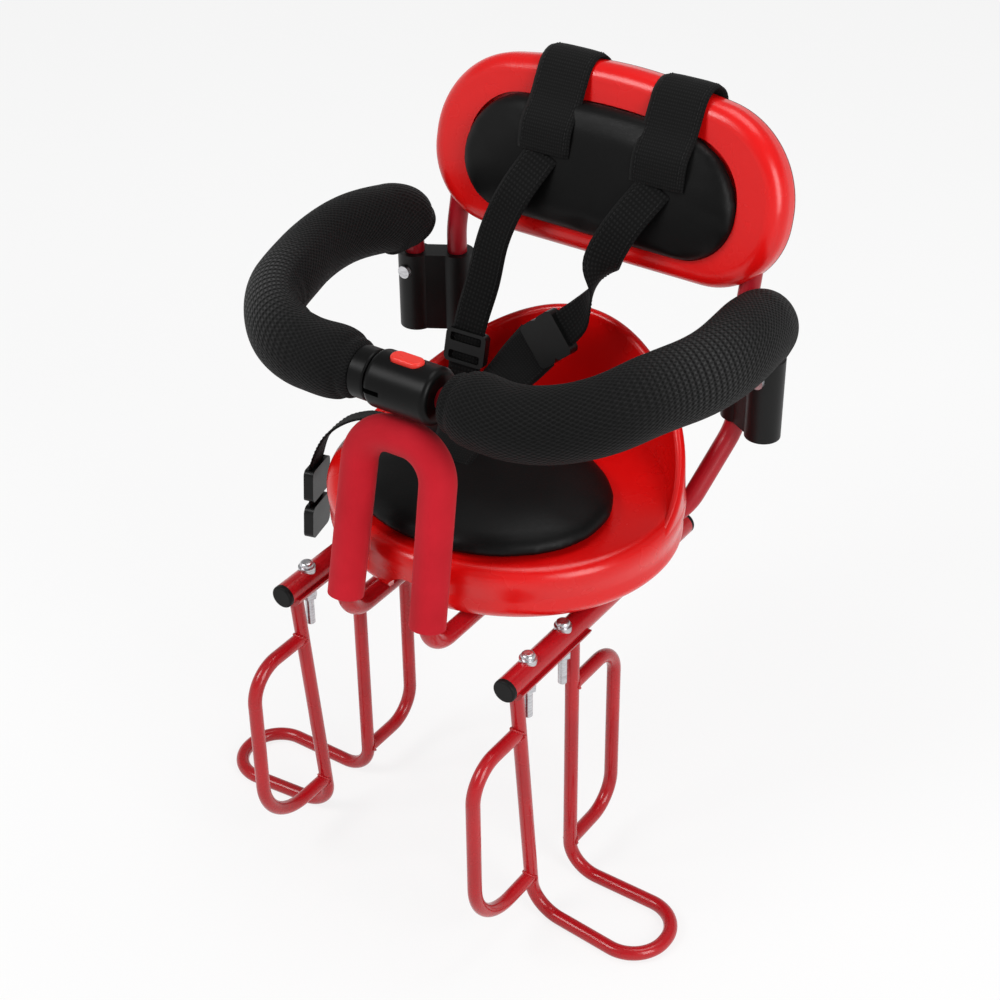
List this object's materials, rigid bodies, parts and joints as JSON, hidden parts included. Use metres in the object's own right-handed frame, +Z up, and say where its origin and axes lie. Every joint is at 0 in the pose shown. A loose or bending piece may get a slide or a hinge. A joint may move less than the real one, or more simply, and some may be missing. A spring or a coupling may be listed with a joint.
{
  "type": "rear child bike seat",
  "caption": "Rear child seat for a bicycle rack: moulded seat and backrest on a bent tube frame with hanging footrests, grab handle, swing-out padded arms with a push lock, and harness.",
  "frame": {"origin": "centre of the four rack studs, on the plane of the lower faces of their nuts", "axes": "+X to the right in the picture, which is the rider's left when riding; +Y to the seat's back; +Z up"},
  "size_m": [0.3694, 0.3258, 0.5134],
  "materials": {
    "frame_paint": "gloss",
    "upright_paint": "satin",
    "zinc": "satin",
    "black_plug": "matte",
    "foam_grip": "matte",
    "red_moulding": "gloss",
    "cushion_cover": "satin",
    "bracket_plastic": "matte",
    "arm_paint": "satin",
    "sleeve_mesh": "matte",
    "lock_plastic": "gloss",
    "button_plastic": "gloss",
    "webbing": "matte",
    "pad_cloth": "matte",
    "buckle_plastic": "satin"
  },
  "bodies": {
    "frame": {"left_rail": "frame_paint", "left_saddle_strip": "frame_paint", "left_leg_rod": "frame_paint", "left_front_guard": "frame_paint", "left_rear_guard": "frame_paint", "left_hinge_bracket": "bracket_plastic", "left_shoulder_pad": "pad_cloth", "left_shoulder_strap": "webbing", "right_rail": "frame_paint", "right_saddle_strip": "frame_paint", "right_leg_rod": "frame_paint", "right_front_guard": "frame_paint", "right_rear_guard": "frame_paint", "right_hinge_bracket": "bracket_plastic", "right_shoulder_pad": "pad_cloth", "right_shoulder_strap": "webbing", "rail_plugs": "black_plug", "rack_washers": "zinc", "rack_bolts": "zinc", "rack_nuts": "zinc", "handle_tube": "frame_paint", "handle_grip": "foam_grip", "front_cross_tube": "frame_paint", "back_frame_tube": "upright_paint", "seat_shell": "red_moulding", "seat_rear_wall": "red_moulding", "seat_bolts": "zinc", "seat_nuts": "zinc", "seat_cushion": "cushion_cover", "backrest_cushion": "cushion_cover", "backrest_screws": "zinc", "backrest_front_shell": "red_moulding", "backrest_rear_shell": "red_moulding", "hinge_screws": "zinc", "crotch_strap": "pad_cloth", "lap_strap": "webbing", "left_strap_adjuster": "buckle_plastic", "lap_strap_adjuster": "buckle_plastic", "buckle_clip": "buckle_plastic", "buckle_socket": "buckle_plastic", "lap_clip": "buckle_plastic", "strap_screws": "zinc"},
    "left_arm": {"left_arm_tube": "arm_paint", "left_arm_sleeve": "sleeve_mesh", "lock_tongue": "zinc", "tongue_collar": "lock_plastic"},
    "right_arm": {"right_arm_tube": "arm_paint", "right_arm_sleeve": "sleeve_mesh", "lock_cover": "lock_plastic", "lock_base": "lock_plastic", "lock_core": "lock_plastic", "button_spring": "zinc"},
    "button": {"lock_button": "button_plastic"}
  },
  "joints": [
    {"name": "left_arm_swing", "type": "hinge", "parent": "frame", "child": "left_arm", "pos_m": [-0.14, 0.179, 0.135], "axis": [0, 0, -1], "range_deg": [0, 95]},
    {"name": "right_arm_swing", "type": "hinge", "parent": "frame", "child": "right_arm", "pos_m": [0.14, 0.179, 0.135], "axis": [0, 0, 1], "range_deg": [0, 95]},
    {"name": "button_push", "type": "slide", "parent": "right_arm", "child": "button", "axis": [0, 0, -1], "range_m": [0, 0.003], "stiffness_N_per_m": 400, "springref_m": -0.002, "deforming": ["button_spring"]}
  ]
}
